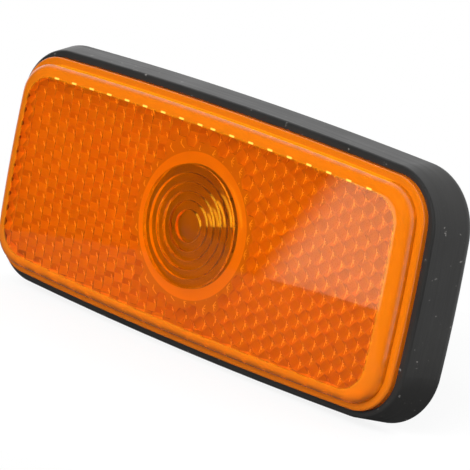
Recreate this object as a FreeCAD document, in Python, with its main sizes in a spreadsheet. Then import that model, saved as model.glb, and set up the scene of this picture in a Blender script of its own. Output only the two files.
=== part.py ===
import FreeCAD, Part
import Sketcher
import math
import os
import re

V = FreeCAD.Vector

# Side marker lamp, in millimetres.
# X runs along the lamp, Z is up and the lens faces -Y. The origin is the middle of
# the mounting face: a "lift" is a distance in front of that face, and a "rear" size
# is a distance behind it.

# Driving dimensions

SIZES = {
    # lens outline: a rectangle with bowed sides and round corners
    "lens_length": 101.0,
    "lens_height": 43.4,
    "lens_corner": 8.1,
    "long_bow": 1.2,
    "short_bow": 0.8,
    # rubber boot
    "rim_width": 1.4,
    "rim_corner": 10.6,
    "end_flare": 3.1,
    "side_flare": 0.95,
    "heel_corner": 11.6,
    "boot_lift": 7.4,
    "lip_thickness": 2.0,
    "lip_width": 6.5,
    "boot_fit": 0.1,
    "rim_round": 0.6,
    "heel_round": 1.0,
    # lens section
    "seat_lift": 5.8,
    "flange_lift": 8.7,
    "flange_width": 1.35,
    "flange_round": 0.5,
    "face_lift": 11.4,
    "shoulder_round": 2.2,
    "plate_thickness": 2.1,
    "tube_gap": 0.4,
    "skirt_wall": 2.7,
    # ring lens in the middle of the face
    "ring_first": 2.95,
    "ring_pitch": 1.64,
    "ring_depth": 0.7,
    # cube-corner prisms on the back of the face
    "prism_pitch": 2.72,
    "prism_foot": 0.2,
    "prism_root": 0.5,
    "prism_border": 1.7,
    "prism_middle": 13.6,
    "prism_split": 0.05,
    # body tray and bulb tower
    "floor_thickness": 2.0,
    "tray_wall": 2.2,
    "tower_bore": 11.6,
    "tower_wall": 1.4,
    "tower_rear": 24.0,
    "end_wall": 2.0,
    "rib_width": 1.6,
    "back_drop": 0.5,
    # mounting studs
    "stud_radius": 2.5,
    "stud_spacing": 64.0,
    "stud_rear": 20.0,
    "stud_tip": 0.7,
    "stud_head_radius": 4.5,
    "stud_head": 1.6,
    "stud_neck": 3.3,
    "stud_core": 2.05,
    "stud_relief": 0.3,
    "boss_radius": 5.0,
    # twist-lock bulb holder
    "holder_radius": 8.6,
    "holder_fit": 0.3,
    "holder_front": 13.0,
    "collar_radius": 12.4,
    "collar": 2.5,
    "hub_radius": 8.8,
    "hub": 5.6,
    "grip_length": 23.0,
    "grip_width": 3.4,
    "grip": 9.0,
    "lug_reach": 1.8,
    "lug_width": 4.0,
    "lug": 2.2,
    "lug_play": 0.3,
    "lug_turn": 60.0,
    "seal": 0.9,
    "seal_width": 2.6,
    # wedge-base bulb
    "bulb_radius": 5.0,
    "bulb_length": 26.8,
    "bulb_wall": 0.7,
    "bulb_base_rear": 23.0,
    "wedge_length": 9.0,
    "wedge_width": 9.2,
    "wedge_thickness": 2.4,
    "neck": 3.0,
    "socket_fit": 0.4,
    "lead_radius": 0.25,
    "lead_spread": 4.4,
    "lead_fold": 5.0,
    "filament_rear": 3.0,
    "filament_radius": 0.45,
    "filament_wire": 0.1,
    "filament_pitch": 0.65,
    # blade terminals
    "blade_width": 6.3,
    "blade": 0.8,
    "blade_offset": 3.8,
    "blade_rear": 42.0,
    "blade_nose": 1.2,
    "spring_gap": 2.7,
}
RING_COUNT = 5
LUG_COUNT = 3

doc = FreeCAD.newDocument("side_marker_lamp")
sheet = doc.addObject("Spreadsheet::Sheet", "Sizes")
for row, (alias, number) in enumerate(SIZES.items(), start=1):
    sheet.set(f"A{row}", alias)
    sheet.set(f"B{row}", str(number))
    sheet.setAlias(f"B{row}", alias)
doc.recompute()

# Worked-out sizes, written in the words of the sheet

LONG_RADIUS = "((lens_length / 2)^2 / (2 * long_bow) + long_bow / 2)"
SHORT_RADIUS = "((lens_height / 2)^2 / (2 * short_bow) + short_bow / 2)"
LENS_OUTLINE = ("lens_length", "lens_height", "lens_corner")
RIM_OUTLINE = ("(lens_length + 2 * rim_width)", "(lens_height + 2 * rim_width)", "rim_corner")
HEEL_OUTLINE = ("(lens_length + 2 * (rim_width + end_flare))",
                "(lens_height + 2 * (rim_width + side_flare))",
                "heel_corner")
PLATE_LIFT = "(face_lift - plate_thickness)"
TRAY_LIFT = "lip_thickness"
FLOOR_LIFT = "(lip_thickness + floor_thickness)"
TUBE_RADIUS = "(tower_bore + tower_wall)"
OPENING_RADIUS = "(holder_radius + holder_fit)"
COLLAR_REAR = "(tower_rear + seal)"
HUB_REAR = "(tower_rear + seal + collar)"
GLASS_TIP = "(bulb_base_rear - bulb_length)"
WEDGE_REAR = "(bulb_base_rear - wedge_length)"
WIRE_FACE = "(wedge_thickness / 2 + 2 * lead_radius)"
SOCKET_REAR = "(bulb_base_rear + 2 * lead_radius + socket_fit)"
SOCKET_HALF = "(spring_gap + blade + socket_fit)"


# Sheet helpers

def bound(text):
    """The expression with each sheet word written as a reference to the sheet."""
    return re.sub(r"[a-z_]+", lambda m: "Sizes." + m[0] if m[0] in SIZES else m[0], text)


def number(text):
    """The value of an expression in the words of the sheet."""
    return float(sheet.evalExpression(text))


# Sketch and feature helpers

def new_body(name):
    body = doc.addObject("PartDesign::Body", name)
    body.Label = name
    return body


def new_sketch(body, name, plane, lift="0"):
    """A sketch on an origin plane of the body, moved along the plane's normal."""
    sketch = body.newObject("Sketcher::SketchObject", name)
    base = next(item for item in body.Origin.OriginFeatures if item.Role == plane)
    sketch.AttachmentSupport = (base, [""])
    sketch.MapMode = "FlatFace"
    sketch.setExpression("AttachmentOffset.Base.z", bound(lift))
    return sketch


def hold(sketch, kind, geometry, point, text):
    """Hold one coordinate of a sketch point at an expression."""
    value = number(text)
    if abs(value) < 1e-9:
        axis = -2 if kind == "DistanceX" else -1
        sketch.addConstraint(Sketcher.Constraint("PointOnObject", geometry, point, axis))
        return
    if value > 0:
        index = sketch.addConstraint(Sketcher.Constraint(kind, -1, 1, geometry, point, value))
        sketch.setExpression(f"Constraints[{index}]", bound(text))
    else:
        index = sketch.addConstraint(Sketcher.Constraint(kind, geometry, point, -1, 1, -value))
        sketch.setExpression(f"Constraints[{index}]", bound(f"-({text})"))


def measure(sketch, kind, geometry, text):
    """Hold a radius or diameter of a sketch curve at an expression."""
    index = sketch.addConstraint(Sketcher.Constraint(kind, geometry, number(text)))
    sketch.setExpression(f"Constraints[{index}]", bound(text))


def polygon_sketch(body, name, plane, corners, lift="0"):
    """A closed outline of straight lines through corners given as expressions."""
    sketch = new_sketch(body, name, plane, lift)
    places = [V(number(x), number(y), 0) for x, y in corners]
    count = len(places)
    for i in range(count):
        sketch.addGeometry(Part.LineSegment(places[i], places[(i + 1) % count]))
    for i in range(count):
        sketch.addConstraint(Sketcher.Constraint("Coincident", i, 2, (i + 1) % count, 1))
    for i, (x, y) in enumerate(corners):
        hold(sketch, "DistanceX", i, 1, x)
        hold(sketch, "DistanceY", i, 1, y)
    return sketch


def circle_sketch(body, name, plane, radius, lift="0", x="0", y="0"):
    sketch = new_sketch(body, name, plane, lift)
    sketch.addGeometry(Part.Circle(V(number(x), number(y), 0), V(0, 0, 1), number(radius)))
    hold(sketch, "DistanceX", 0, 3, x)
    hold(sketch, "DistanceY", 0, 3, y)
    measure(sketch, "Radius", 0, radius)
    return sketch


def box_sketch(body, name, plane, half_x, half_y, lift="0"):
    corners = [(f"-{half_x}", f"-{half_y}"), (half_x, f"-{half_y}"),
               (half_x, half_y), (f"-{half_x}", half_y)]
    return polygon_sketch(body, name, plane, corners, lift)


def outline_sketch(body, name, inset, lift, sides=LENS_OUTLINE):
    """An outline of four bowed sides and four corners, moved inward by the inset."""
    sketch = new_sketch(body, name, "XZ_Plane", lift)
    length, height, corner = sides
    half_x = number(f"{length} / 2")
    half_z = number(f"{height} / 2")
    long_r = number(LONG_RADIUS)
    short_r = number(SHORT_RADIUS)
    corner_r = number(corner)
    shift = number(inset)

    # centre of the upper right corner: inside both side arcs by the corner radius
    long_mid = half_z - long_r
    short_mid = half_x - short_r
    cx, cz = half_x - corner_r, half_z - corner_r
    for _ in range(40):
        cz = long_mid + math.sqrt((long_r - corner_r)**2 - cx**2)
        cx = short_mid + math.sqrt((short_r - corner_r)**2 - cz**2)
    long_end = math.atan2(cz - long_mid, cx)
    short_end = math.atan2(cz, cx - short_mid)

    turn = math.pi
    arcs = [
        (0, long_mid, long_r, long_end, turn - long_end),
        (-cx, cz, corner_r, turn - long_end, turn - short_end),
        (-short_mid, 0, short_r, turn - short_end, turn + short_end),
        (-cx, -cz, corner_r, turn + short_end, turn + long_end),
        (0, -long_mid, long_r, turn + long_end, 2 * turn - long_end),
        (cx, -cz, corner_r, 2 * turn - long_end, 2 * turn - short_end),
        (short_mid, 0, short_r, -short_end, short_end),
        (cx, cz, corner_r, short_end, long_end),
    ]
    for x, z, radius, start, end in arcs:
        circle = Part.Circle(V(x, z, 0), V(0, 0, 1), radius - shift)
        sketch.addGeometry(Part.ArcOfCircle(circle, start, end))
    for i in range(8):
        sketch.addConstraint(Sketcher.Constraint("Tangent", i, 2, (i + 1) % 8, 1))
    hold(sketch, "DistanceX", 0, 3, "0")
    hold(sketch, "DistanceY", 0, 3, f"{height} / 2 - {LONG_RADIUS}")
    hold(sketch, "DistanceX", 4, 3, "0")
    hold(sketch, "DistanceY", 4, 3, f"{LONG_RADIUS} - {height} / 2")
    hold(sketch, "DistanceX", 2, 3, f"{SHORT_RADIUS} - {length} / 2")
    hold(sketch, "DistanceY", 2, 3, "0")
    hold(sketch, "DistanceX", 6, 3, f"{length} / 2 - {SHORT_RADIUS}")
    hold(sketch, "DistanceY", 6, 3, "0")
    for i in (0, 4):
        measure(sketch, "Radius", i, f"{LONG_RADIUS} - ({inset})")
    for i in (2, 6):
        measure(sketch, "Radius", i, f"{SHORT_RADIUS} - ({inset})")
    for i in (1, 3, 5, 7):
        measure(sketch, "Radius", i, f"{corner} - ({inset})")
    return sketch


def pad(body, sketch, length, back=False, middle=False):
    feature = body.newObject("PartDesign::Pad", sketch.Name + "_pad")
    feature.Profile = sketch
    feature.setExpression("Length", bound(length))
    feature.Reversed = back
    feature.Midplane = middle
    sketch.Visibility = False
    doc.recompute()
    return feature


def pocket(body, sketch, length, back=True):
    """Cut the sketch along its plane's normal, or against it when back is true."""
    feature = body.newObject("PartDesign::Pocket", sketch.Name + "_cut")
    feature.Profile = sketch
    feature.setExpression("Length", bound(length))
    feature.Reversed = not back
    sketch.Visibility = False
    doc.recompute()
    return feature


def revolve(body, sketch, kind="Revolution"):
    feature = body.newObject("PartDesign::" + kind, sketch.Name + "_turn")
    feature.Profile = sketch
    feature.ReferenceAxis = (sketch, ["V_Axis"])
    feature.Angle = 360
    sketch.Visibility = False
    doc.recompute()
    return feature


def round_edges(body, radius, wanted):
    """Fillet the edges of the body's tip for which wanted(edge) is true."""
    base = body.Tip
    names = [f"Edge{i}" for i, edge in enumerate(base.Shape.Edges, start=1) if wanted(edge)]
    feature = body.newObject("PartDesign::Fillet", "round")
    feature.Base = (base, names)
    feature.setExpression("Radius", bound(radius))
    doc.recompute()
    return feature


def lies_at(lift, reach):
    """Edges in the plane at a lift that are at least reach wide along X or bend there."""
    def wanted(edge):
        box = edge.BoundBox
        flat = abs(box.YMin + lift) < 1e-4 and abs(box.YMax + lift) < 1e-4
        far = edge.CenterOfMass
        return flat and math.hypot(far.x, far.z) > reach
    return wanted


def mirrored(name, source, normal):
    copy = doc.addObject("Part::Mirroring", name)
    copy.Source = source
    copy.Normal = normal
    return copy


def group(name, pieces):
    whole = doc.addObject("Part::Compound", name)
    whole.Links = pieces
    whole.Label = name
    doc.recompute()
    return whole


# Rubber boot: a flared wall with a flat lip turned in under the lamp body

boot = new_body("rubber_boot")
heel = outline_sketch(boot, "boot_heel", "0", "0", HEEL_OUTLINE)
rim = outline_sketch(boot, "boot_rim", "0", "boot_lift", RIM_OUTLINE)
wall = boot.newObject("PartDesign::AdditiveLoft", "boot_wall")
wall.Profile = heel
wall.Sections = [rim]
wall.Ruled = True
doc.recompute()
round_edges(boot, "rim_round", lies_at(number("boot_lift"), 0))
round_edges(boot, "heel_round", lies_at(0, 0))
pocket(boot, outline_sketch(boot, "boot_seat", "-boot_fit", "boot_lift"),
       "boot_lift - lip_thickness")
pocket(boot, outline_sketch(boot, "boot_window", "lip_width", "boot_lift"), "boot_lift")

# Lamp body: a tray on the boot's lip, with a light tube in front and a bulb tower behind

tray = new_body("lamp_body")
pad(tray, outline_sketch(tray, "tray_outline", "0", TRAY_LIFT), "seat_lift - lip_thickness")
pocket(tray, outline_sketch(tray, "tray_hollow", "tray_wall", "seat_lift"),
       f"seat_lift - {FLOOR_LIFT}")
pad(tray, circle_sketch(tray, "light_tube", "XZ_Plane", TUBE_RADIUS, FLOOR_LIFT),
    f"{PLATE_LIFT} - tube_gap - {FLOOR_LIFT}")
pad(tray, circle_sketch(tray, "tower", "XZ_Plane", TUBE_RADIUS, TRAY_LIFT),
    f"{TRAY_LIFT} + tower_rear", back=True)
for side in ("", "-"):
    label = "left" if side else "right"
    pad(tray, circle_sketch(tray, f"{label}_boss", "XZ_Plane", "boss_radius", TRAY_LIFT,
                            f"{side}stud_spacing / 2"), f"{TRAY_LIFT} - back_drop", back=True)
rib = box_sketch(tray, "rib", "XZ_Plane", "(stud_spacing / 2)", "(rib_width / 2)", TRAY_LIFT)
pad(tray, rib, f"{TRAY_LIFT} - back_drop", back=True)
pocket(tray, circle_sketch(tray, "bore", "XZ_Plane", "tower_bore", PLATE_LIFT),
       f"{PLATE_LIFT} + tower_rear - end_wall")
pocket(tray, circle_sketch(tray, "opening", "XZ_Plane", OPENING_RADIUS, PLATE_LIFT),
       f"{PLATE_LIFT} + tower_rear")
notch = polygon_sketch(tray, "notch", "XZ_Plane", [
    ("-(lug_width / 2 + holder_fit)", "0"),
    ("lug_width / 2 + holder_fit", "0"),
    ("lug_width / 2 + holder_fit", "holder_radius + lug_reach + holder_fit"),
    ("-(lug_width / 2 + holder_fit)", "holder_radius + lug_reach + holder_fit"),
], "-tower_rear")
notch_cut = pocket(tray, notch, "end_wall", back=False)
tray.Tip = notch_cut
notches = tray.newObject("PartDesign::PolarPattern", "notches")
notches.Originals = [notch_cut]
notches.Axis = (notch, ["N_Axis"])
notches.Angle = 360
notches.Occurrences = LUG_COUNT
tray.Tip = notches
doc.recompute()
for side in ("", "-"):
    label = "left" if side else "right"
    pocket(tray, circle_sketch(tray, f"{label}_stud_hole", "XZ_Plane", "stud_neck", FLOOR_LIFT,
                               f"{side}stud_spacing / 2"), FLOOR_LIFT)

# Mounting studs: a flat head inside the tray, a pressed-in neck, a relief where the thread
# would run out, and a plain shank with a chamfered tip

stud = new_body("stud")
stud_side = polygon_sketch(stud, "stud_side", "XY_Plane", [
    ("0", f"-({FLOOR_LIFT} + stud_head)"),
    ("stud_head_radius", f"-({FLOOR_LIFT} + stud_head)"),
    ("stud_head_radius", f"-{FLOOR_LIFT}"),
    ("stud_neck", f"-{FLOOR_LIFT}"),
    ("stud_neck", "-back_drop"),
    ("stud_core", "-back_drop"),
    ("stud_core", "stud_relief - back_drop"),
    ("stud_radius", "stud_relief - back_drop"),
    ("stud_radius", "stud_rear - stud_tip"),
    ("stud_radius - stud_tip", "stud_rear"),
    ("0", "stud_rear"),
])
revolve(stud, stud_side)
stud.setExpression("Placement.Base.x", bound("stud_spacing / 2"))
doc.recompute()
studs = group("mounting_studs", [stud, mirrored("other_stud", stud, V(1, 0, 0))])

# Lens: a flange on the tray, a rounded shoulder and a flat face with a ring lens

shell = new_body("lens_shell")
pad(shell, outline_sketch(shell, "flange", "0", "seat_lift"), "flange_lift - seat_lift")
round_edges(shell, "flange_round", lies_at(number("flange_lift"), 0))
pad(shell, outline_sketch(shell, "face", "flange_width", "flange_lift"), "face_lift - flange_lift")
round_edges(shell, "shoulder_round", lies_at(number("face_lift"), 0))
pocket(shell, outline_sketch(shell, "lens_hollow", "skirt_wall", PLATE_LIFT),
       f"{PLATE_LIFT} - seat_lift")

# the ring lens is a domed middle and a row of sloped rings, each cut below the face
teeth = [("0", "-face_lift"), ("ring_first", "ring_depth - face_lift")]
for k in range(RING_COUNT):
    inner = f"ring_first + {k} * ring_pitch"
    outer = f"ring_first + {k + 1} * ring_pitch"
    teeth.append((inner, "-face_lift"))
    teeth.append((outer, "ring_depth - face_lift"))
last_ring = f"ring_first + {RING_COUNT} * ring_pitch"
teeth.append((last_ring, "-face_lift - ring_depth"))
teeth.append(("0", "-face_lift - ring_depth"))
rings = new_sketch(shell, "rings", "XY_Plane")
spots = [V(number(x), number(y), 0) for x, y in teeth]
dome_radius = (spots[1].x**2 + (spots[1].y - spots[0].y)**2) / (2 * (spots[1].y - spots[0].y))
dome = Part.Circle(V(0, spots[0].y + dome_radius, 0), V(0, 0, 1), dome_radius)
dome_end = math.atan2(spots[1].y - spots[0].y - dome_radius, spots[1].x)
rings.addGeometry(Part.ArcOfCircle(dome, -math.pi / 2, dome_end))
for i in range(1, len(spots)):
    rings.addGeometry(Part.LineSegment(spots[i], spots[(i + 1) % len(spots)]))
for i in range(len(spots)):
    following = (i + 1) % len(spots)
    rings.addConstraint(Sketcher.Constraint("Coincident", i, 2, following, 1))
rings.addConstraint(Sketcher.Constraint("PointOnObject", 0, 3, -2))
for i, (x, y) in enumerate(teeth):
    hold(rings, "DistanceX", i, 1, x)
    hold(rings, "DistanceY", i, 1, y)
revolve(shell, rings, "Groove")


# Cube-corner prisms: three square facets meet at right angles in each six-sided cell

def prism_half():
    """The prisms on the +X half: facets on top, walls at the border and a flat root."""
    pitch = number("prism_pitch")
    reach = pitch / math.sqrt(3)
    step = reach / math.sqrt(2)
    valley = -number(PLATE_LIFT) + number("prism_foot")
    root = -number(PLATE_LIFT) - number("prism_root")
    first = reach + number("prism_split")
    column = pitch * math.sqrt(3) / 2
    half_x = number("lens_length / 2 - prism_border")
    half_z = number("lens_height / 2 - prism_border")
    long_r = number(f"{LONG_RADIUS} - prism_border")
    short_r = number(f"{SHORT_RADIUS} - prism_border")
    corner_r = number("lens_corner - prism_border")
    middle = number("prism_middle")

    def in_field(x, z):
        inside_long = math.hypot(x, abs(z) + long_r - half_z) < long_r
        inside_short = math.hypot(abs(x) + short_r - half_x, z) < short_r
        dx = max(abs(x) - half_x + corner_r, 0)
        dz = max(abs(z) - half_z + corner_r, 0)
        return inside_long and inside_short and math.hypot(dx, dz) < corner_r + number("short_bow")

    def clear_of_rings(x, z):
        return math.hypot(x, z) > middle

    cells = []
    columns = int(half_x / column) + 1
    rows = int(half_z / pitch) + 1
    for i in range(columns):
        for j in range(-rows, rows + 1):
            cx = first + i * column
            cz = (j + 0.5 * (i % 2)) * pitch
            ring = [(cx + reach * math.cos(math.radians(60 * k)),
                     cz + reach * math.sin(math.radians(60 * k))) for k in range(6)]
            if all(in_field(x, z) and clear_of_rings(x, z) for x, z in ring):
                cells.append(((cx, cz), ring))

    def key(x, z):
        return (round(x, 3), round(z, 3))

    # each cell's corners lie one and two steps in turn below its tip
    faces = []
    sides = {}
    for (cx, cz), ring in cells:
        tip = V(cx, valley + 2 * step, cz)
        high = [V(x, valley + step * (1 - k % 2), z) for k, (x, z) in enumerate(ring)]
        for k in (0, 2, 4):
            corners = [tip, high[k], high[k + 1], high[(k + 2) % 6]]
            faces.append(Part.Face(Part.makePolygon(corners + corners[:1])))
        low = [V(x, root, z) for x, z in ring]
        for k in range(6):
            n = (k + 1) % 6
            mark = frozenset((key(*ring[k]), key(*ring[n])))
            if mark in sides:
                del sides[mark]
            else:
                sides[mark] = (low[k], low[n], high[n], high[k])
        faces.append(Part.Face(Part.makePolygon(low + low[:1])))
    for corners in sides.values():
        faces.append(Part.Face(Part.makePolygon(list(corners) + [corners[0]])))
    skin = Part.makeShell(faces)
    skin.sewShape()
    blocks = [Part.Solid(part) for part in skin.Shells] if skin.Shells else [Part.Solid(skin)]
    for block in blocks:
        if block.Volume < 0:
            block.reverse()
    return blocks


blocks = prism_half()
prisms = doc.addObject("Part::Feature", "prisms")
prisms.Shape = blocks[0] if len(blocks) == 1 else Part.makeCompound(blocks)
doc.recompute()
lens = doc.addObject("Part::MultiFuse", "lens")
lens.Shapes = [shell, prisms, mirrored("other_prisms", prisms, V(1, 0, 0))]
lens.Refine = False
lens.Label = "lens"
doc.recompute()

# Bulb holder: a turned plug with three lugs, a collar and a finger grip

holder = new_body("holder_blank")
revolve(holder, polygon_sketch(holder, "holder_side", "XY_Plane", [
    ("0", "holder_front"),
    ("holder_radius", "holder_front"),
    ("holder_radius", COLLAR_REAR),
    ("collar_radius", COLLAR_REAR),
    ("collar_radius", HUB_REAR),
    ("hub_radius", HUB_REAR),
    ("hub_radius", f"{HUB_REAR} + hub"),
    ("0", f"{HUB_REAR} + hub"),
]))
grip = box_sketch(holder, "grip", "XZ_Plane", "(grip_length / 2)", "(grip_width / 2)", f"-{HUB_REAR}")
pad(holder, grip, "grip", back=True)
lug = polygon_sketch(holder, "lug", "XZ_Plane", [
    ("-lug_width / 2", "holder_radius / 2"),
    ("lug_width / 2", "holder_radius / 2"),
    ("lug_width / 2", "holder_radius + lug_reach"),
    ("-lug_width / 2", "holder_radius + lug_reach"),
], "-(tower_rear - end_wall - lug_play)")
lug.setExpression("AttachmentOffset.Rotation.Angle", bound("lug_turn"))
lug_pad = pad(holder, lug, "lug")
holder.Tip = lug_pad
lugs = holder.newObject("PartDesign::PolarPattern", "lugs")
lugs.Originals = [lug_pad]
lugs.Axis = (lug, ["N_Axis"])
lugs.Angle = 360
lugs.Occurrences = LUG_COUNT
holder.Tip = lugs
doc.recompute()
socket = box_sketch(holder, "socket", "XZ_Plane", "(wedge_width / 2 + socket_fit)", SOCKET_HALF,
                    "-holder_front")
pocket(holder, socket, f"{SOCKET_REAR} - holder_front")

# Flat seal between the collar and the end of the tower

seal = new_body("holder_seal")
revolve(seal, polygon_sketch(seal, "seal_side", "XY_Plane", [
    ("holder_radius", "tower_rear"),
    ("holder_radius + seal_width", "tower_rear"),
    ("holder_radius + seal_width", COLLAR_REAR),
    ("holder_radius", COLLAR_REAR),
]))

# Blade terminals: a spring arm on the bulb's lead, a cranked shank and a flat blade

terminal = new_body("terminal")
arm = [
    ("holder_front + socket_fit", "spring_gap"),
    (f"{WEDGE_REAR} + wedge_length - lead_fold", WIRE_FACE),
    ("bulb_base_rear - lead_fold / 2", WIRE_FACE),
    (SOCKET_REAR, "blade_offset"),
    ("blade_rear", "blade_offset"),
]
strip = arm + [(y, f"{z} + blade") for y, z in reversed(arm)]
terminal_side = polygon_sketch(terminal, "terminal_side", "YZ_Plane", strip)
blank = pad(terminal, terminal_side, "blade_width", middle=True)
tip_edges = [f"Edge{i}" for i, edge in enumerate(blank.Shape.Edges, start=1)
             if edge.BoundBox.YMin > number("blade_rear") - 1e-4 and edge.BoundBox.XLength < 1e-4]
nose = terminal.newObject("PartDesign::Chamfer", "nose")
nose.Base = (blank, tip_edges)
nose.setExpression("Size", bound("blade_nose"))
doc.recompute()
turned = mirrored("terminal_turned", mirrored("terminal_below", terminal, V(0, 0, 1)), V(1, 0, 0))
terminals = group("terminals", [terminal, turned])
plug = doc.addObject("Part::Cut", "bulb_holder")
plug.Base = holder
plug.Tool = terminals
plug.Label = "bulb_holder"
doc.recompute()

# Bulb leads: from the filament through the wedge, folded forward along its flat faces

lead = new_body("lead")
spine = new_sketch(lead, "lead_path", "YZ_Plane", "lead_spread / 2")
path = [("filament_rear - lead_radius", "0"),
        ("bulb_base_rear + lead_radius", "0"),
        ("bulb_base_rear + lead_radius", "wedge_thickness / 2 + lead_radius"),
        ("bulb_base_rear - lead_fold", "wedge_thickness / 2 + lead_radius")]
stops = [V(number(y), number(z), 0) for y, z in path]
for i in range(3):
    spine.addGeometry(Part.LineSegment(stops[i], stops[i + 1]))
for i in range(2):
    spine.addConstraint(Sketcher.Constraint("Coincident", i, 2, i + 1, 1))
for i, (y, z) in enumerate(path):
    line, point = (i, 1) if i < 3 else (2, 2)
    hold(spine, "DistanceX", line, point, y)
    hold(spine, "DistanceY", line, point, z)
section = circle_sketch(lead, "lead_section", "XZ_Plane", "lead_radius",
                        "-(filament_rear - lead_radius)", "lead_spread / 2")
doc.recompute()
wire = lead.newObject("PartDesign::AdditivePipe", "lead_wire")
wire.Profile = section
wire.Spine = (spine, ["Edge1", "Edge2", "Edge3"])
wire.Transition = "Right corner"
doc.recompute()
lead_turned = mirrored("lead_turned", mirrored("lead_below", lead, V(0, 0, 1)), V(1, 0, 0))
leads = group("bulb_leads", [lead, lead_turned])

# Bulb glass: a round-ended tube pressed flat into a wedge, hollow in front

glass = new_body("glass_blank")


def capsule_sketch(name, tip, radius, shoulder, end_radius, end):
    """Half the side view of a round-nosed bulb, closed along the axis."""
    sketch = new_sketch(glass, name, "XY_Plane")
    centre = f"{tip} + {radius}"
    nose_arc = Part.Circle(V(0, number(centre), 0), V(0, 0, 1), number(radius))
    sketch.addGeometry(Part.ArcOfCircle(nose_arc, -math.pi / 2, 0))
    corners = [(radius, centre), (radius, shoulder), (end_radius, end), ("0", end), ("0", tip)]
    points = [V(number(x), number(y), 0) for x, y in corners]
    for i in range(4):
        sketch.addGeometry(Part.LineSegment(points[i], points[i + 1]))
    for i in range(5):
        sketch.addConstraint(Sketcher.Constraint("Coincident", i, 2, (i + 1) % 5, 1))
    sketch.addConstraint(Sketcher.Constraint("PointOnObject", 0, 3, -2))
    for i, (x, y) in enumerate(corners[:4], start=1):
        hold(sketch, "DistanceX", i, 1, x)
        hold(sketch, "DistanceY", i, 1, y)
    hold(sketch, "DistanceX", 0, 1, "0")
    hold(sketch, "DistanceY", 0, 1, tip)
    return sketch


revolve(glass, capsule_sketch("glass_side", GLASS_TIP, "bulb_radius", f"({WEDGE_REAR} - neck)",
                              "(wedge_thickness - bulb_wall)", WEDGE_REAR))
pad(glass, box_sketch(glass, "wedge", "XZ_Plane", "(wedge_width / 2)", "(wedge_thickness / 2)",
                      f"-({WEDGE_REAR} - bulb_wall)"), "wedge_length + bulb_wall", back=True)
revolve(glass, capsule_sketch("glass_hollow", f"({GLASS_TIP} + bulb_wall)", "(bulb_radius - bulb_wall)",
                              f"({WEDGE_REAR} - neck - bulb_wall / 2)", "(wedge_thickness - 2 * bulb_wall)",
                              f"({WEDGE_REAR} - 2 * bulb_wall)"), "Groove")
bulb = doc.addObject("Part::Cut", "bulb_glass")
bulb.Base = glass
bulb.Tool = leads
bulb.Label = "bulb_glass"
doc.recompute()

# Filament: a close coil between the two leads

coil = doc.addObject("Part::Feature", "bulb_filament")
coil_length = number("lead_spread - 2 * lead_radius")
helix = Part.makeHelix(number("filament_pitch"), coil_length, number("filament_radius"))
start = helix.Vertexes[0].Point
round_wire = Part.Wire(Part.makeCircle(number("filament_wire"), start, V(0, 1, 0)))
coil.Shape = Part.Wire(helix.Edges).makePipeShell([round_wire], True, True)
coil.Placement = FreeCAD.Placement(V(-coil_length / 2, number("filament_rear"), 0),
                                   FreeCAD.Rotation(V(0, 1, 0), 90))
coil.Label = "bulb_filament"
doc.recompute()

# Check and write the pieces

pieces = [boot, tray, lens, studs, plug, seal, terminals, bulb, leads, coil]
for item in doc.Objects:
    if "Invalid" in item.State or "Error" in item.State:
        raise RuntimeError(f"{item.Label} did not compute: {item.State}")
os.makedirs("parts", exist_ok=True)
for piece in pieces:
    shape = piece.Shape
    if shape.isNull() or not shape.isValid() or not shape.Solids:
        raise RuntimeError(f"{piece.Label} has no valid solid")
    box = shape.BoundBox
    print(f"{piece.Label}: {len(shape.Solids)} solids, {len(shape.Faces)} faces, {shape.Volume:.1f} mm3, "
          f"x {box.XMin:.2f}..{box.XMax:.2f} y {box.YMin:.2f}..{box.YMax:.2f} "
          f"z {box.ZMin:.2f}..{box.ZMax:.2f}")
    shape.exportStep(f"parts/{piece.Label}.step")
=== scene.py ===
# %% [markdown]
# # Side marker lamp
# An amber marker lamp for the side of a trailer: a clear amber lens with rows of
# cube-corner prisms and a round ring lens, set in a flared black rubber boot. The
# solids come from the CAD model at their real size. This lesson gives them their
# finish, cuts the threads that the CAD leaves plain, and sets up a small studio.

import math

import bpy
from mathutils import Matrix, Vector


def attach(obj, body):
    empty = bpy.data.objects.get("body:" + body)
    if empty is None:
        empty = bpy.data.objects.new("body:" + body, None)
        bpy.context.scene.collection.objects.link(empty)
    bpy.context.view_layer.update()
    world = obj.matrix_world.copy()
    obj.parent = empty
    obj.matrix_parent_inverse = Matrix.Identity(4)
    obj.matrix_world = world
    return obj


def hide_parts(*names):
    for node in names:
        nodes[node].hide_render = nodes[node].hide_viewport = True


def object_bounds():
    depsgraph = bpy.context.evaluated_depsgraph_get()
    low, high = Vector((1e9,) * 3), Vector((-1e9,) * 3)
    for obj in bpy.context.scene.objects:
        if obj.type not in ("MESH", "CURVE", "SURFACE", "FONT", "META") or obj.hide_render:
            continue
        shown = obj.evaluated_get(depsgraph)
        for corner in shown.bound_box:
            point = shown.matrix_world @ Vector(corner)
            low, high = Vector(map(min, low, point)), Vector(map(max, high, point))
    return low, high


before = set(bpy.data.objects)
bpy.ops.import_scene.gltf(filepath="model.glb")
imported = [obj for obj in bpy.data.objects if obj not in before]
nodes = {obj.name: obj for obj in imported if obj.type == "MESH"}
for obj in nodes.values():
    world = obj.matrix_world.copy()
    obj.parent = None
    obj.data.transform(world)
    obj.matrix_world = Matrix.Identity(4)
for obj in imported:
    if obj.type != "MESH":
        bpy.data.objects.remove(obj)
cad_low, cad_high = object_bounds()
MM = 0.001
print("CAD nodes:", sorted(nodes))
print("CAD box in mm:", [round(v / MM, 2) for v in (*cad_low, *cad_high)])

# %% [markdown]
# ## Shader sums in plain Python
# A finish is a small network of nodes. Wiring them one by one hides the idea, so one class
# wraps a socket and lets Python's own signs build the Math nodes, and one method adds any
# other node with its settings and its inputs.

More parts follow.
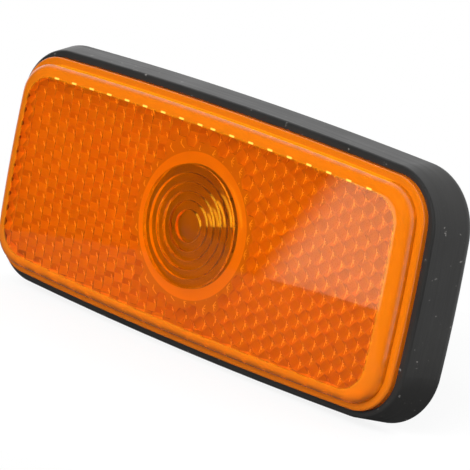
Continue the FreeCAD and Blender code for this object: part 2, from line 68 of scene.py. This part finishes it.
# %% Sockets that can be added and multiplied
class Value:
    """A shader socket that takes part in sums."""

    def __init__(self, finish, socket):
        self.finish = finish
        self.socket = socket

    def math(self, operation, a, b):
        return self.finish.add("ShaderNodeMath", "Value", {"operation": operation}, {0: a, 1: b})

    def __add__(self, other):
        return self.math("ADD", self, other)

    def __radd__(self, other):
        return self.math("ADD", other, self)

    def __sub__(self, other):
        return self.math("SUBTRACT", self, other)

    def __rsub__(self, other):
        return self.math("SUBTRACT", other, self)

    def __mul__(self, other):
        return self.math("MULTIPLY", self, other)

    def __rmul__(self, other):
        return self.math("MULTIPLY", other, self)

    def __abs__(self):
        return self.math("ABSOLUTE", self, 0)

    def root(self):
        return self.math("SQRT", self, 0)

    def largest(self, other):
        return self.math("MAXIMUM", self, other)

    def smallest(self, other):
        return self.math("MINIMUM", self, other)

    def below(self, other):
        return self.math("LESS_THAN", self, other)


print("sums on sockets ready")


# %% Materials that add their own nodes
class Finish:
    """A material, or the world, with helpers to add nodes to it."""

    def __init__(self, owner):
        owner.use_nodes = True
        self.owner = owner
        self.tree = owner.node_tree
        self.tree.nodes.clear()

    def feed(self, socket, value):
        if isinstance(value, Value):
            self.tree.links.new(value.socket, socket)
        else:
            socket.default_value = value

    def add(self, kind, output, settings=None, inputs=None):
        node = self.tree.nodes.new(kind)
        for name, setting in (settings or {}).items():
            setattr(node, name, setting)
        for name, value in (inputs or {}).items():
            self.feed(node.inputs[name], value)
        return Value(self, node.outputs[output])

    def end(self, surface, kind="ShaderNodeOutputMaterial"):
        output = self.tree.nodes.new(kind)
        self.tree.links.new(surface.socket, output.inputs["Surface"])

    def noise(self, scale, detail=2.0, stretch=(1.0, 1.0, 1.0)):
        place = self.add("ShaderNodeVectorMath", "Vector", {"operation": "MULTIPLY"},
                         {0: self.add("ShaderNodeTexCoord", "Object"), 1: stretch})
        return self.add("ShaderNodeTexNoise", "Fac", None,
                        {"Vector": place, "Scale": scale, "Detail": detail})

    def ramp(self, value, low, high, first=0.0, last=1.0):
        """Carry a value between two marks over to a range from the first to the last."""
        return self.add("ShaderNodeMapRange", "Result", {"interpolation_type": "SMOOTHSTEP"},
                        {"Value": value, "From Min": low, "From Max": high,
                         "To Min": first, "To Max": last})

    def mix(self, factor, first, second):
        node = self.tree.nodes.new("ShaderNodeMix")
        node.data_type = "RGBA"
        for index, value in ((0, factor), (6, first), (7, second)):
            self.feed(node.inputs[index], value)
        return Value(self, node.outputs[2])

    def blend(self, factor, first, second):
        return self.add("ShaderNodeMixShader", "Shader", None, {0: factor, 1: first, 2: second})

    def bump(self, height, strength, distance):
        return self.add("ShaderNodeBump", "Normal", None,
                        {"Height": height, "Strength": strength, "Distance": distance})

    def principled(self, **inputs):
        return self.add("ShaderNodeBsdfPrincipled", "BSDF", None,
                        {name.replace("_", " "): value for name, value in inputs.items()})


def new_finish(name):
    return Finish(bpy.data.materials.new(name))


def wear(piece, finish):
    """Put one finish on a piece in place of what it has."""
    piece.data.materials.clear()
    piece.data.materials.append(finish.owner)


print("shader helpers ready")

# %% [markdown]
# ## Amber acrylic
# The lens is one moulding of amber acrylic. Its colour is in the whole thickness, so the
# base is a refracting finish with acrylic's index, and the prisms on its back turn the light
# round by themselves. The coloured plastic also scatters a part of the light. That part is
# small in the ring lens, larger over the prisms, and largest where the white tube is right
# behind the lens and where the field of prisms ends. The thick shoulder and flange scatter
# too, in a deeper tone, and so does the edge that meets the tray. So one Mix Shader takes its
# share from the place, in millimetres.

# %% Where on the lens
LENS_HALF_X, LENS_HALF_Z = 50.5, 21.7
LONG_BOW, SHORT_BOW = 1.2, 0.8
LONG_CURVE, SHORT_CURVE = LONG_BOW / LENS_HALF_X ** 2, SHORT_BOW / LENS_HALF_Z ** 2
FIELD_X, FIELD_Z, FIELD_CORNER = 46.5, 18.05, 5.0

amber = new_finish("amber_acrylic")
place = amber.add("ShaderNodeTexCoord", "Object")
x, y, z = (amber.add("ShaderNodeSeparateXYZ", axis, None, {"Vector": place}) * (1 / MM)
           for axis in "XYZ")
across = abs(x)
radius = (x * x + z * z).root()
past_x = (across + z * z * SHORT_CURVE - (FIELD_X - FIELD_CORNER)).largest(0)
past_z = (abs(z) + x * x * LONG_CURVE - (FIELD_Z - FIELD_CORNER)).largest(0)
past_field = (past_x * past_x + past_z * past_z).root() - FIELD_CORNER
print("prism field in mm: half length", FIELD_X, "half height", FIELD_Z)

# %% Zones of the lens
BACK, BACK_SOFT = -9.9, 0.1
SEAM, SEAM_SOFT = -6.2, 0.3
RING_END, RING_SOFT = 11.2, 0.1
PRISM_START = 13.6
TUBE_FADE_START, TUBE_FADE_END = PRISM_START - 0.4, PRISM_START + 0.2
BORDER_SOFT = 0.3
FLANGE_START, FLANGE_SOFT = 2.0, 0.6

behind = amber.ramp(y, BACK, BACK + BACK_SOFT)
seam = amber.ramp(y, SEAM, SEAM + SEAM_SOFT)
beyond_rings = amber.ramp(radius, RING_END - RING_SOFT, RING_END + RING_SOFT)
tube = beyond_rings * amber.ramp(radius, TUBE_FADE_START, TUBE_FADE_END, 1, 0)
border = amber.ramp(past_field, -BORDER_SOFT, BORDER_SOFT)
flange = amber.ramp(past_field, FLANGE_START, FLANGE_START + FLANGE_SOFT)
shoulder = border + behind * (flange - border)
print("rings end at", RING_END, "mm and prisms start at", PRISM_START, "mm")

# %% Share of scattered light
RING_SHARE, FIELD_SHARE, TUBE_SHARE, THICK_SHARE, SEAM_SHARE = 0.15, 0.6, 0.9, 0.6, 0.5

inside = RING_SHARE + beyond_rings * (FIELD_SHARE - RING_SHARE)
share = inside.largest(tube.largest(border) * TUBE_SHARE) * behind
share = share + shoulder * (THICK_SHARE - share)
share = share.largest(seam * SEAM_SHARE)
print("scattering shares:", RING_SHARE, FIELD_SHARE, TUBE_SHARE, THICK_SHARE, SEAM_SHARE)

# %% [markdown]
# ## Painted highlights on the prisms
# The edges in the mould are slightly rounded and catch the light, so each prism shows a fine
# pale line that starts at its tip. That highlight is painted on here as a pale colour. The
# prisms lie on a lattice, so the place alone gives the distance to the nearest mark: two wrapped
# copies of the place find the nearest tip, and the arms of the mark leave it at set angles. The
# two halves of the lens turn the light differently, so each half has arms of its own. They are
# drawn as they are seen, and don't all follow the CAD's ridges. The painted highlights are kept
# to the back of the lens, where the prisms are. Along the upper border every second column ends
# in a short bright glint, which is painted on the front in the same pale colour.

# %% Lattice of tips
PRISM_PITCH = 2.72
COLUMN = PRISM_PITCH * math.sqrt(3) / 2
PRISM_SPLIT = 0.05
FIRST_COLUMN = PRISM_PITCH / math.sqrt(3) + PRISM_SPLIT


def wrapped(value, period):
    return amber.add("ShaderNodeMath", "Value", {"operation": "WRAP"},
                     {0: value, 1: period / 2, 2: -period / 2})


even_x, even_z = wrapped(across - FIRST_COLUMN, 2 * COLUMN), wrapped(z, PRISM_PITCH)
odd_x = wrapped(across - FIRST_COLUMN - COLUMN, 2 * COLUMN)
odd_z = wrapped(z - PRISM_PITCH / 2, PRISM_PITCH)
even_nearer = (even_x * even_x + even_z * even_z).below(odd_x * odd_x + odd_z * odd_z)
tip_x = odd_x + even_nearer * (even_x - odd_x)
tip_z = odd_z + even_nearer * (even_z - odd_z)
print("columns of prisms:", round(COLUMN, 3), "mm apart")

# %% Painted highlights from the tips
MARK_HALF, MARK_SOFT = 0.07, 0.4
FAR_AWAY = 10.0
RIGHT_ARMS = ((60, 1.0), (-60, 1.0), (25, 0.7), (-25, 0.7))
LEFT_ARMS = ((90, 0.8), (210, 1.1), (60, 0.35))


def to_arm(degrees, reach):
    """Distance from an arm that leaves the tip at an angle."""
    turn = math.radians(degrees)
    along = tip_x * math.cos(turn) + tip_z * math.sin(turn)
    beside = tip_z * math.cos(turn) - tip_x * math.sin(turn)
    over = (along - reach).largest(along * -1).largest(0)
    return (beside * beside + over * over).root()


def to_mark(arms):
    """Distance from the nearest arm."""
    nearest = FAR_AWAY
    for degrees, reach in arms:
        nearest = to_arm(degrees, reach).smallest(nearest)
    return nearest


on_left = x.below(0)
on_prisms = amber.ramp(radius, PRISM_START - RING_SOFT, PRISM_START) * behind * (1 - border)
right_mark, left_mark = to_mark(RIGHT_ARMS), to_mark(LEFT_ARMS)
nearest_mark = right_mark + on_left * (left_mark - right_mark)
# Painted highlight: pale lines along the prism edges, where light catches them
painted_highlight_mask = on_prisms * amber.ramp(nearest_mark, MARK_HALF * (1 - MARK_SOFT),
                               MARK_HALF * (1 + MARK_SOFT), 1, 0)
print("half width of a mark in mm:", MARK_HALF)

# %% Painted glints along the upper border
GLINT_Z = 18.2
GLINT_FADE, GLINT_END = 41.0, 42.0
GLINT_FULL_X, GLINT_HALF_X = 0.4, 0.75
GLINT_FULL_Z, GLINT_HALF_Z = 0.08, 0.25

# Painted glints: short pale dashes painted on the front along the upper border
from_edge = abs(z + x * x * LONG_CURVE - GLINT_Z)
glints = amber.ramp(abs(even_x), GLINT_FULL_X, GLINT_HALF_X, 1, 0) * (1 - behind)
glints = glints * amber.ramp(from_edge, GLINT_FULL_Z, GLINT_HALF_Z, 1, 0)
glints = glints * amber.ramp(across, GLINT_FADE, GLINT_END, 1, 0)
painted_highlight_mask = painted_highlight_mask.largest(glints)
print("glints reach to", GLINT_END, "mm from the middle")

# %% Amber acrylic
ACRYLIC_INDEX = 1.49
AMBER_CLEAR = (1.0, 0.44, 0.012, 1.0)
AMBER_MILK = (1.0, 0.38, 0.006, 1.0)
AMBER_MILK_PALE = (1.0, 0.48, 0.008, 1.0)
AMBER_SHOULDER = (0.66, 0.165, 0.004, 1.0)
# Pale amber painted on the prism edges and the glints as their highlight
AMBER_EDGE_HIGHLIGHT = (1.0, 0.62, 0.09, 1.0)
HIGHLIGHT_SHARE = 0.8

cloud = amber.mix(amber.noise(scale=60.0), AMBER_MILK, AMBER_MILK_PALE)
clear = amber.principled(Base_Color=AMBER_CLEAR, Roughness=0.02, IOR=ACRYLIC_INDEX,
                         Transmission_Weight=1.0)
milk = amber.principled(Base_Color=amber.mix(shoulder, cloud, AMBER_SHOULDER), Roughness=0.05,
                        IOR=ACRYLIC_INDEX)
painted_highlight_bsdf = amber.principled(Base_Color=AMBER_EDGE_HIGHLIGHT, Roughness=0.5, IOR=ACRYLIC_INDEX)
body = amber.blend(share, clear, milk)
amber.end(amber.blend(painted_highlight_mask * HIGHLIGHT_SHARE, body, painted_highlight_bsdf))
print("amber acrylic made")

# %% [markdown]
# ## Black rubber
# The boot is moulded rubber: nearly black, with a soft grey bloom at low angles, a fine
# grain and slow waves from the mould, and a few specks of dust that it holds on to. Faint
# streaks run round the boot, so one noise is stretched along the lamp and up and down.

# %% Black rubber
RUBBER_DARK = (0.011, 0.011, 0.011, 1)
RUBBER_PALE = (0.021, 0.0205, 0.0195, 1)
DUST = (0.12, 0.116, 0.11, 1)
ROUND_THE_BOOT = (0.03, 1.0, 0.03)
SPECK_START, SPECK_FULL = 0.7, 0.75
GRAIN_RELIEF, STREAK_RELIEF = 0.06, 0.35
RUBBER_SMOOTHEST, BLOOM_SPREAD, STREAK_SPREAD = 0.23, 0.14, 0.2

rubber = new_finish("black_rubber")
grain = rubber.noise(scale=2600.0, detail=3.0)
bloom = rubber.noise(scale=90.0, detail=3.0)
waves = rubber.noise(scale=160.0)
streaks = rubber.noise(scale=1100.0, stretch=ROUND_THE_BOOT)
speck = rubber.ramp(rubber.noise(scale=850.0), SPECK_START, SPECK_FULL)
tone = rubber.mix(speck, rubber.mix(bloom, RUBBER_DARK, RUBBER_PALE), DUST)
relief = grain * GRAIN_RELIEF + waves + streaks * STREAK_RELIEF
rubber.end(rubber.principled(
    Base_Color=tone,
    Roughness=RUBBER_SMOOTHEST + bloom * BLOOM_SPREAD + streaks * STREAK_SPREAD,
    Normal=rubber.bump(relief, strength=0.2, distance=0.4 * MM)))
print("black rubber made")

# %% [markdown]
# ## Plastics, metals and glass
# The tray is white so that it sends the bulb's light forward, and the plug is dark grey.
# Both have the faint mottle of a mould. The studs are zinc plated and the blades are
# stamped brass, so their roughness varies a little, and the bulb is plain clear glass with
# a trace of uneven wall.

# %% Plastics and metals
TRAY_TONES = ((0.72, 0.72, 0.7, 1), (0.8, 0.8, 0.78, 1))
PLUG_TONES = ((0.02, 0.02, 0.021, 1), (0.035, 0.035, 0.036, 1))
ZINC_TONES = ((0.62, 0.62, 0.62, 1), (0.76, 0.75, 0.72, 1))
BRASS_TONES = ((0.78, 0.55, 0.22, 1), (0.88, 0.68, 0.34, 1))


def mottled(name, tones, scale, smoothest, spread, metallic=0.0):
    """A finish whose tone and roughness vary a little over the surface."""
    finish = new_finish(name)
    mottle = finish.noise(scale)
    finish.end(finish.principled(
        Base_Color=finish.mix(mottle, *tones),
        Metallic=metallic,
        Roughness=smoothest + mottle * spread))
    return finish


tray = mottled("tray_plastic", TRAY_TONES, scale=350.0, smoothest=0.36, spread=0.16)
plug = mottled("holder_plastic", PLUG_TONES, scale=350.0, smoothest=0.34, spread=0.2)
steel = mottled("zinc_steel", ZINC_TONES, scale=700.0, smoothest=0.2, spread=0.2, metallic=1.0)
brass = mottled("stamped_brass", BRASS_TONES, scale=500.0, smoothest=0.18, spread=0.18, metallic=1.0)
print("mottled finishes:", [finish.owner.name for finish in (tray, plug, steel, brass)])

# %% Bulb
GLASS_TONE = (0.97, 0.98, 0.97, 1)
TUNGSTEN_TONE = (0.35, 0.34, 0.33, 1)
GLASS_INDEX = 1.5

glass = new_finish("bulb_glass")
glass.end(glass.principled(
    Base_Color=GLASS_TONE,
    Roughness=0.01 + glass.noise(scale=300.0) * 0.02,
    IOR=GLASS_INDEX,
    Transmission_Weight=1.0))

tungsten = new_finish("tungsten")
tungsten.end(tungsten.principled(
    Base_Color=TUNGSTEN_TONE,
    Metallic=1.0,
    Roughness=0.4 + tungsten.noise(scale=900.0) * 0.2))
print("bulb finishes:", [finish.owner.name for finish in (glass, tungsten)])

# %% Every node gets its finish
for name, finish in {"lens": amber, "rubber_boot": rubber, "lamp_body": tray, "bulb_holder": plug,
                     "holder_seal": rubber, "mounting_studs": steel, "terminals": brass,
                     "bulb_glass": glass, "bulb_leads": steel, "bulb_filament": tungsten}.items():
    wear(nodes[name], finish)
    print(name, "wears", finish.owner.name, "on", len(nodes[name].data.polygons), "triangles")

# %% [markdown]
# ## A hair of air at the seam
# In the CAD the lens rests face to face on the tray's rim. Two faces at one place confuse a
# ray of light, so a copy of the tray has its double points merged and its rim drawn back by a
# hair, and it takes the place of the CAD tray. The gap is far too small to see. A Weighted
# Normal modifier keeps the large flat faces evenly shaded up to their rounded edges.

# %% Tray with its rim set back
RIM_PLACE, RIM_WITHIN = -5.8, 0.02
RIM_BACK = 0.12
MERGE_WITHIN = 0.0005
TRAY_SMOOTH = 30


def move_points(piece, wanted, step):
    """Move the wanted points of the active piece by a step, and count them."""
    bpy.ops.object.mode_set(mode="EDIT")
    bpy.ops.mesh.select_all(action="DESELECT")
    bpy.ops.object.mode_set(mode="OBJECT")
    for vertex in piece.data.vertices:
        vertex.select = wanted(vertex.co)
    count = sum(vertex.select for vertex in piece.data.vertices)
    bpy.ops.object.mode_set(mode="EDIT")
    bpy.ops.transform.translate(value=step)
    bpy.ops.object.mode_set(mode="OBJECT")
    return count


def on_rim(point):
    return abs(point.y / MM - RIM_PLACE) < RIM_WITHIN


bpy.ops.object.select_all(action="DESELECT")
nodes["lamp_body"].select_set(True)
bpy.context.view_layer.objects.active = nodes["lamp_body"]
bpy.ops.object.duplicate()
tray_copy = bpy.context.object
tray_copy.name = "tray_at_seam"
bpy.ops.object.mode_set(mode="EDIT")
bpy.ops.mesh.select_all(action="SELECT")
bpy.ops.mesh.remove_doubles(threshold=MERGE_WITHIN * MM)
bpy.ops.object.mode_set(mode="OBJECT")
rim_count = move_points(tray_copy, on_rim, (0, RIM_BACK * MM, 0))
bpy.ops.object.shade_smooth_by_angle(angle=math.radians(TRAY_SMOOTH))
even_normals = tray_copy.modifiers.new("even_normals", "WEIGHTED_NORMAL")
even_normals.keep_sharp = True
bpy.ops.object.modifier_apply(modifier=even_normals.name)
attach(tray_copy, "root")
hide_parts("lamp_body")
print("rim points set back:", rim_count)

# %% [markdown]
# ## Threads on the studs
# The CAD studs are plain, because a thread is a matter of looks there. Here each stud is
# put together from four plain cylinders along its axis: head, neck, core and a narrower tip.
# The thread itself is one small triangle that a Screw modifier winds round the core, with
# the pitch of the stud, so its crests stay just inside the plain shank of the CAD.

# %% Plain stud and wound thread
# Radius, start and end of the head, neck, core and tip
STUD_PARTS = ((4.5, -5.6, -4.0), (3.3, -4.0, -0.5), (2.05, -0.5, 19.4), (1.8, 19.3, 20.0))
STUD_SIDES = 48
THREAD_PITCH = 0.8
THREAD_START = 0.35
THREAD_TURNS = 23
THREAD_STEPS = 28
THREAD_MIDDLE, THREAD_RADIUS = 2.17, 0.3

bpy.ops.object.select_all(action="DESELECT")
stud_pieces = []
for part_radius, low, high in STUD_PARTS:
    bpy.ops.mesh.primitive_cylinder_add(vertices=STUD_SIDES, radius=part_radius * MM,
                                        depth=(high - low) * MM,
                                        location=(0, 0, (low + high) / 2 * MM))
    stud_pieces.append(bpy.context.object)
bpy.ops.mesh.primitive_circle_add(vertices=3, radius=THREAD_RADIUS * MM, fill_type="NOTHING",
                                  location=(THREAD_MIDDLE * MM, 0, THREAD_START * MM),
                                  rotation=(math.pi / 2, math.pi / 2, 0))
thread = bpy.context.object
bpy.ops.object.transform_apply(location=True, rotation=True, scale=True)
winding = thread.modifiers.new("winding", "SCREW")
winding.axis = "Z"
winding.angle = math.tau
winding.screw_offset = THREAD_PITCH * MM
winding.iterations = THREAD_TURNS
winding.steps = THREAD_STEPS
winding.render_steps = THREAD_STEPS
bpy.ops.object.modifier_apply(modifier=winding.name)
print("thread:", len(thread.data.polygons), "faces, turns:", THREAD_TURNS)

# %% Two studs in one piece
STUD_SPACING = 64.0
STUD_SMOOTH = 35

for piece in stud_pieces:
    piece.select_set(True)
bpy.ops.object.join()
stud = bpy.context.object
stud.name = "threaded_studs"
stud.rotation_euler = (-math.pi / 2, 0, 0)
stud.location = (STUD_SPACING / 2 * MM, 0, 0)
bpy.ops.object.transform_apply(location=True, rotation=True, scale=True)
bpy.ops.object.duplicate()
bpy.ops.transform.translate(value=(-STUD_SPACING * MM, 0, 0))
stud.select_set(True)
bpy.context.view_layer.objects.active = stud
bpy.ops.object.join()
bpy.ops.object.transform_apply(location=True, rotation=True, scale=True)
bpy.ops.object.shade_smooth_by_angle(angle=math.radians(STUD_SMOOTH))
wear(stud, steel)
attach(stud, "root")
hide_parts("mounting_studs")
print("threaded studs:", len(stud.data.polygons), "faces")

# %% [markdown]
# ## Floor and light
# The studio is bright behind the lamp and dim in front of it. A bright back draws the grey
# sheen along the top of the rubber, and a dim front keeps the amber deep. The floor is a
# plain pale disc that takes the shadow. The camera sees floor and backdrop white, and so do
# metal and glass where they show the backdrop behind the lamp.

# %% Floor
FLOOR_RADIUS, FLOOR_SIDES = 95.0, 96
FLOOR_DIM = (0.12, 0.12, 0.12, 1)
FLOOR_PALE = (0.9, 0.9, 0.9, 1)
WHITE = (1, 1, 1, 1)
WHITE_SHARE = 0.85

bpy.ops.object.select_all(action="DESELECT")
bpy.ops.mesh.primitive_circle_add(vertices=FLOOR_SIDES, radius=FLOOR_RADIUS * MM,
                                  fill_type="NGON", location=(0, 0, cad_low.z))
floor = bpy.context.object
floor.name = "floor"
bpy.ops.object.transform_apply(location=True, rotation=False, scale=False)

pale = new_finish("pale_floor")
seen = pale.add("ShaderNodeLightPath", "Is Camera Ray")
lit = pale.principled(Base_Color=pale.mix(seen, FLOOR_DIM, FLOOR_PALE), Roughness=0.9,
                      Specular_IOR_Level=0.0)
white = pale.add("ShaderNodeEmission", "Emission", None, {"Color": WHITE, "Strength": 1.0})
pale.end(pale.blend(seen * WHITE_SHARE, lit, white))
wear(floor, pale)
print("floor radius in mm:", FLOOR_RADIUS)

# %% World
FRONT_LIGHT = 0.04
BACK_LIGHT = 1.5
BACKDROP_START, BACKDROP_FULL = -0.2, 0.5
RAYS = ("Is Camera Ray", "Is Glossy Ray", "Is Transmission Ray")

world = bpy.data.worlds.new("studio")
bpy.context.scene.world = world
sky = Finish(world)
direction = sky.add("ShaderNodeTexCoord", "Generated")
depth = sky.add("ShaderNodeSeparateXYZ", "Y", None, {"Vector": direction})
camera_ray, glossy_ray, clear_ray = (sky.add("ShaderNodeLightPath", ray) for ray in RAYS)
backdrop = sky.ramp(depth, BACKDROP_START, BACKDROP_FULL)
seen = camera_ray.largest(glossy_ray.largest(clear_ray) * backdrop)
glow = FRONT_LIGHT + backdrop * (BACK_LIGHT - FRONT_LIGHT)
strength = seen + (1.0 - seen) * glow
background = sky.add("ShaderNodeBackground", "Background", None,
                     {"Color": WHITE, "Strength": strength})
sky.end(background, "ShaderNodeOutputWorld")
print("world: front", FRONT_LIGHT, "back", BACK_LIGHT)

# %% [markdown]
# ## Camera
# The camera stands in front of the lamp, to its right and a little above it, and is rolled to
# one side. Its place in metres and its angles come from a fit of the lamp's outlines to those
# in the photo. The long lens keeps the far end of the lamp nearly as large as the near end.
# Light passes the prisms many times, so it may bounce more often than usual.

# %% Camera
CAMERA_PLACE = Vector((0.36551, -0.40841, 0.10554))
CAMERA_TURN = math.radians(41.714)
CAMERA_RISE = math.radians(11.058)
CAMERA_ROLL = math.radians(11.157)
CAMERA_LENS, CAMERA_SENSOR = 236.26, 36.0
CAMERA_CLIP = 10.0
CLEAR_BOUNCES, GLOSSY_BOUNCES = 24, 12

ahead = Vector((-math.sin(CAMERA_TURN) * math.cos(CAMERA_RISE),
                math.cos(CAMERA_TURN) * math.cos(CAMERA_RISE),
                -math.sin(CAMERA_RISE)))
level = Vector((math.cos(CAMERA_TURN), math.sin(CAMERA_TURN), 0))
upward = level.cross(ahead)
right = level * math.cos(CAMERA_ROLL) + upward * math.sin(CAMERA_ROLL)
top = upward * math.cos(CAMERA_ROLL) - level * math.sin(CAMERA_ROLL)
camera_data = bpy.data.cameras.new("camera")
camera_data.lens = CAMERA_LENS
camera_data.sensor_width = CAMERA_SENSOR
camera_data.clip_start = CAMERA_CLIP * MM
camera = bpy.data.objects.new("camera", camera_data)
bpy.context.scene.collection.objects.link(camera)
turned = Matrix((right, top, -ahead)).transposed()
camera.matrix_world = Matrix.Translation(CAMERA_PLACE) @ turned.to_4x4()
bpy.context.scene.camera = camera
bpy.context.scene.view_settings.view_transform = "Standard"
bpy.context.scene.cycles.max_bounces = CLEAR_BOUNCES
bpy.context.scene.cycles.transmission_bounces = CLEAR_BOUNCES
bpy.context.scene.cycles.glossy_bounces = GLOSSY_BOUNCES
print("camera at", [round(v, 3) for v in CAMERA_PLACE])

# %% [markdown]
# ## Lights of the studio
# One large soft light stands high in front and lights the amber from above. It is hidden from
# mirrored rays, so it leaves no glare on the flat face. A small soft card stands where the face
# mirrors it to the camera, and makes the pale window patch on the right half of the lens. Its
# place follows from the eye's mirror image behind the face. The patch leans, and it fades to
# its left and below.

# %% Key light
KEY_PLACE = Vector((0.22, -0.78, 0.34))
KEY_SIZE = 1.0
KEY_POWER = 19.5

key_data = bpy.data.lights.new("key", "AREA")
key_data.shape = "DISK"
key_data.size = KEY_SIZE
key_data.energy = KEY_POWER
key = bpy.data.objects.new("key", key_data)
bpy.context.scene.collection.objects.link(key)
key.location = KEY_PLACE
key.visible_glossy = False
key.rotation_euler = (-KEY_PLACE).to_track_quat("-Z", "Y").to_euler()
print("key light power:", KEY_POWER)

# %% Card for the window patch
FACE = -11.4
PATCH_LEFT, PATCH_RIGHT, PATCH_LOW, PATCH_HIGH = 12, 49, -13, 18
PATCH_UPPER_LEFT = 29
CARD_REACH = 1.9

mirrored_eye = Vector((CAMERA_PLACE.x, 2 * FACE * MM - CAMERA_PLACE.y, CAMERA_PLACE.z))


def on_card(patch_x, patch_z):
    """The place on the card that the face mirrors at a place of the patch."""
    patch = Vector((patch_x, FACE, patch_z)) * MM
    return mirrored_eye + (patch - mirrored_eye) * CARD_REACH


card_low, card_high = on_card(PATCH_LEFT, PATCH_LOW), on_card(PATCH_RIGHT, PATCH_HIGH)
card_middle = (card_low + card_high) / 2
wide, tall = card_high.x - card_low.x, card_high.z - card_low.z
lean = on_card(PATCH_UPPER_LEFT, PATCH_HIGH).x - card_low.x


def upper_left(point):
    return point.x < card_middle.x and point.z > card_middle.z


bpy.ops.object.select_all(action="DESELECT")
bpy.ops.mesh.primitive_plane_add(size=1.0, location=card_middle, rotation=(math.pi / 2, 0, 0))
card = bpy.context.object
card.name = "card"
card.scale = (wide, tall, 1)
bpy.ops.object.transform_apply(location=True, rotation=True, scale=True)
corner_count = move_points(card, upper_left, (lean, 0, 0))
card.visible_camera = False
card.visible_shadow = False
card.visible_diffuse = False
card.visible_transmission = False
print("card in mm:", round(wide / MM), "by", round(tall / MM), "with corners moved:", corner_count)

# %% Shine of the card
SIDE_FADE, LOW_FADE = 0.22, 0.5
BLACK = (0, 0, 0, 1)
CARD_WARM = (1, 0.95, 0.62, 1)
CARD_STRENGTH = 2.5

shine = new_finish("card_shine")
spot = shine.add("ShaderNodeTexCoord", "Object")
spot_x, spot_z = (shine.add("ShaderNodeSeparateXYZ", axis, None, {"Vector": spot}) for axis in "XZ")
from_side = spot_x - (spot_z - card_low.z) * (lean / tall)
fade = shine.ramp(from_side, card_low.x, card_low.x + wide * SIDE_FADE)
fade = fade * shine.ramp(spot_z, card_low.z, card_low.z + tall * LOW_FADE)
shine.end(shine.add("ShaderNodeEmission", "Emission", None, {
    "Color": shine.mix(fade, BLACK, CARD_WARM), "Strength": CARD_STRENGTH}))
wear(card, shine)
print("card shines with strength", CARD_STRENGTH)
